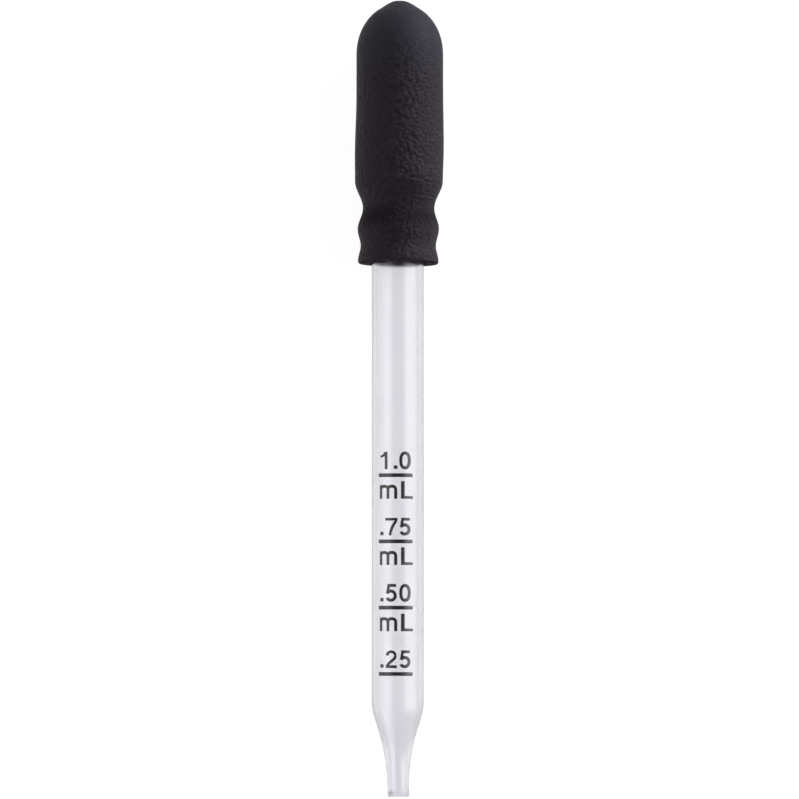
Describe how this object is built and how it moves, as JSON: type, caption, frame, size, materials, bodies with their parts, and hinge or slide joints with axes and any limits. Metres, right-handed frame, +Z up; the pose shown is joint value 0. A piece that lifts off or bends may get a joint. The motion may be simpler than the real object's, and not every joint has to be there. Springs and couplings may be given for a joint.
{
  "type": "dropper pipette",
  "caption": "Clear graduated dropper barrel drawn down to a fine tip, with a hollow black rubber bulb pushed over its other end.",
  "frame": {"origin": "on the surface it lies on, under the middle of its length", "axes": "+Y along the barrel from the tip to the bulb, +Z up with the print on top, +X across"},
  "size_m": [0.0118, 0.1064, 0.0118],
  "materials": {
    "clear_plastic": "clear, polished by the mould, with a faint cool cast",
    "bulb_rubber": "matte black, with a fine dry grain",
    "print_ink": "thin black screen print"
  },
  "bodies": {
    "root": {"barrel": "clear_plastic", "bulb": "bulb_rubber"}
  },
  "joints": []
}
